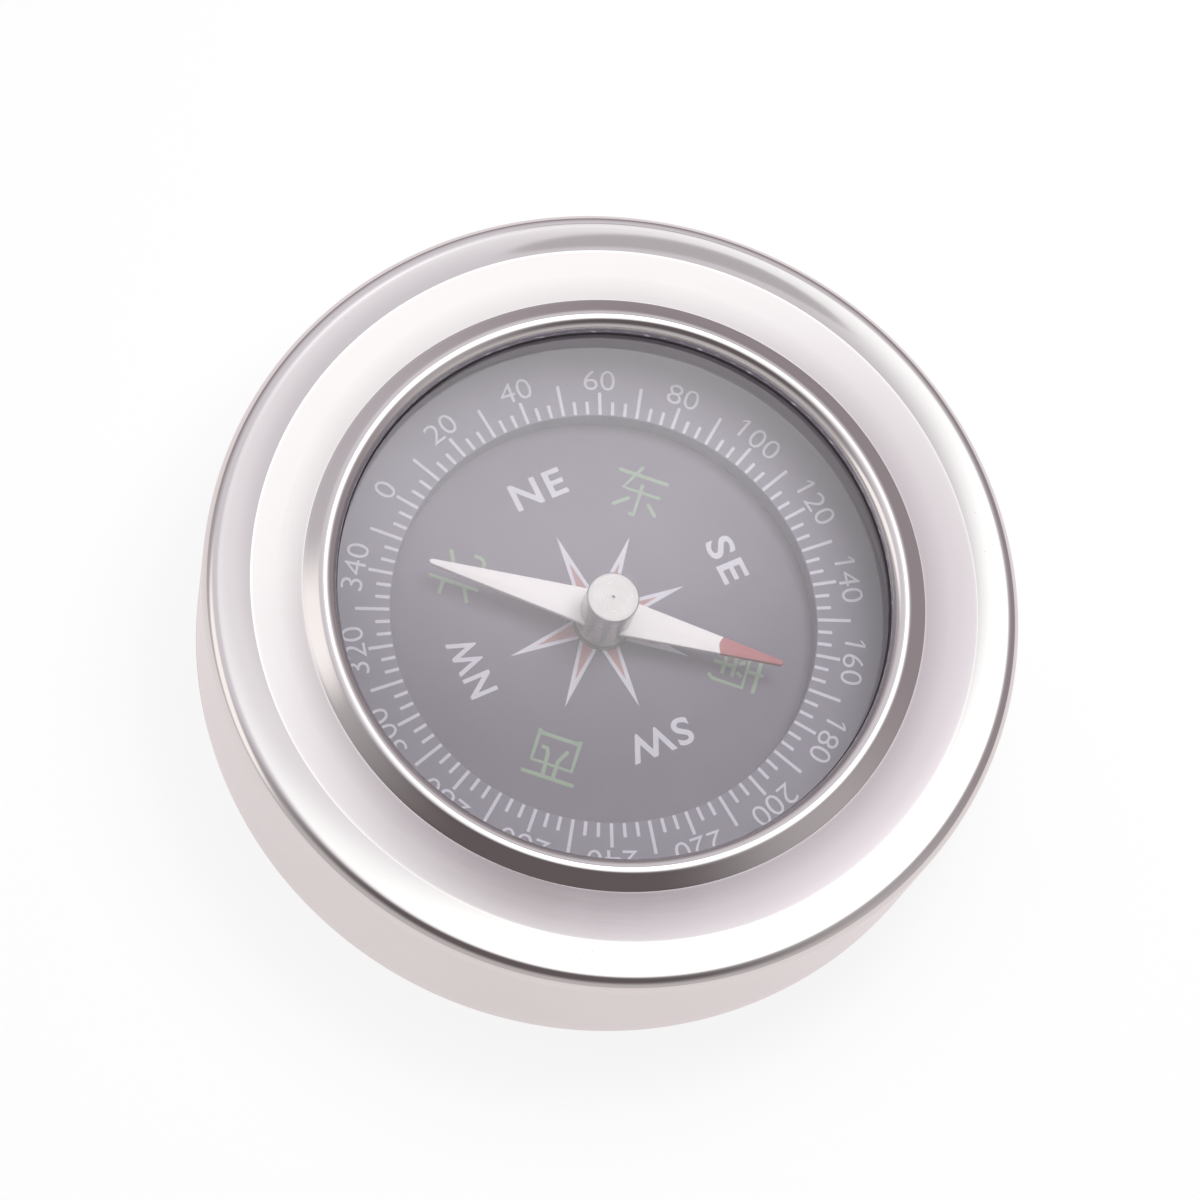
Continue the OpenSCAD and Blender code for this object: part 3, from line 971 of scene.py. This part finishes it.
def build_floor():
    """Pale floor that takes the shadow. It looks nearly plain white, and a little warmer in the steel."""
    bm = bmesh.new()
    bmesh.ops.create_grid(bm, x_segments=1, y_segments=1, size=FLOOR_SIZE)
    mesh = bpy.data.meshes.new("floor")
    bm.to_mesh(mesh)
    bm.free()
    floor = bpy.data.objects.new("floor", mesh)
    bpy.context.collection.objects.link(floor)
    material, tree, shader = new_material("floor_white", Roughness=0.7, Specular_IOR_Level=0.1)
    film = use_group(tree, PRINTED_FILM, Tooth_Scale=900.0, Mottle_Scale=20.0)
    tree.links.new(mixed(tree, film.outputs["Mottle"], *FLOOR_PAPER), shader.inputs["Base Color"])
    rays = tree.nodes.new("ShaderNodeLightPath")
    mirrored = rays.outputs["Is Glossy Ray"]
    seen = math_node(tree, "MAXIMUM", rays.outputs["Is Camera Ray"], rays.outputs["Is Transmission Ray"])
    seen = math_node(tree, "MAXIMUM", seen, mirrored)
    white = tree.nodes.new("ShaderNodeEmission")
    tree.links.new(mixed(tree, mirrored, PLAIN_WHITE, FLOOR_TONE_IN_STEEL), white.inputs["Color"])
    tree.links.new(mapped(tree, mirrored, 0, 1, FLOOR_WHITE, FLOOR_IN_STEEL), white.inputs["Strength"])
    paper = tree.nodes.new("ShaderNodeMixShader")
    tree.links.new(math_node(tree, "MULTIPLY", seen, FLOOR_GLOW), paper.inputs[0])
    tree.links.new(shader.outputs[0], paper.inputs[1])
    tree.links.new(white.outputs[0], paper.inputs[2])
    tree.links.new(paper.outputs[0], tree.nodes["Material Output"].inputs[0])
    mesh.materials.append(material)


# Directions of the studio, seen from the camera's side of the object
FAR = Vector((math.cos(VIEW_TURN + math.pi / 2), math.sin(VIEW_TURN + math.pi / 2), 0))
RIGHT = Vector((FAR.y, -FAR.x, 0))
UP = Vector((0, 0, 1))


def studio_way(right, far):
    """Direction that lies so many degrees from straight up, towards the right and the far side."""
    turn = math.radians(math.hypot(right, far))
    level = (RIGHT * right + FAR * far).normalized()
    return level * math.sin(turn) + UP * math.cos(turn)


def build_world():
    """Grey room: a ceiling light with a dimmer halo, a window at the left and a dim side at the camera."""
    world = bpy.data.worlds.new("studio")
    bpy.context.scene.world = world
    world.use_nodes = True
    tree = world.node_tree
    back = tree.nodes["Background"]
    way = tree.nodes.new("ShaderNodeTexCoord").outputs["Generated"]

    def along(axis):
        dot = tree.nodes.new("ShaderNodeVectorMath")
        dot.operation = "DOT_PRODUCT"
        tree.links.new(way, dot.inputs[0])
        dot.inputs[1].default_value = axis
        return dot.outputs["Value"]

    def spot(right, far, full, edge):
        inner = math.cos(math.radians(full))
        outer = math.cos(math.radians(edge))
        return mapped(tree, along(studio_way(right, far)), outer, inner, 0, 1, True)

    def oval(right, far, wide, high, soft):
        middle = studio_way(right, far)
        side = (RIGHT - middle * RIGHT.dot(middle)).normalized()
        across = math_node(tree, "DIVIDE", along(side), math.sin(math.radians(wide)))
        rising = math_node(tree, "DIVIDE", along(middle.cross(side)), math.sin(math.radians(high)))
        inside = mapped(tree, span(tree, across, rising), 1 - soft, 1 + soft, 1, 0, True)
        return math_node(tree, "MULTIPLY", inside, mapped(tree, along(middle), 0, OVAL_FRONT, 0, 1))

    room = mixed(tree, mapped(tree, along(FAR), *ROOM_CHANGE, 0, 1, True), ROOM_NEAR, ROOM_FAR)
    room = mixed(tree, spot(*GLOW_AT), room, GLOW_TONE)
    for place, tone in ((SHADE_AT, SHADE_TONE), (WINDOW_AT, WINDOW_TONE), (HALO_AT, HALO_TONE),
                        (CEILING_AT, CEILING_TONE), (LAMP_CORE_AT, LAMP_CORE_TONE), (PATCH_AT, PATCH_TONE)):
        room = mixed(tree, oval(*place), room, tone)
    room = mixed(tree, mapped(tree, along(UP), -TABLE_EDGE, TABLE_EDGE, 0, 1), TABLE_TONE, room)
    rays = tree.nodes.new("ShaderNodeLightPath")
    tree.links.new(mixed(tree, rays.outputs["Is Camera Ray"], room, PLAIN_WHITE), back.inputs["Color"])


def build_lamp():
    """Soft round lamp above the dial, which the steel and the glass don't mirror."""
    lamp = bpy.data.lights.new("key_panel", "AREA")
    lamp.shape = "DISK"
    lamp.size = KEY_SIZE
    lamp.energy = KEY_POWER
    lamp.color = KEY_TONE
    key = bpy.data.objects.new("key_panel", lamp)
    bpy.context.collection.objects.link(key)
    toward = studio_way(*KEY_AT)
    key.location = RIM_CENTRE + toward * KEY_REACH
    key.rotation_euler = toward.to_track_quat("Z", "Y").to_euler()
    key.visible_glossy = False
    key.visible_transmission = False


build_case()
build_inside()
dress_carried_over()
build_scale()
build_dial()
build_blade()
build_hub()
build_camera()
build_floor()
build_world()
build_lamp()

bpy.context.scene.view_settings.view_transform = "Standard"
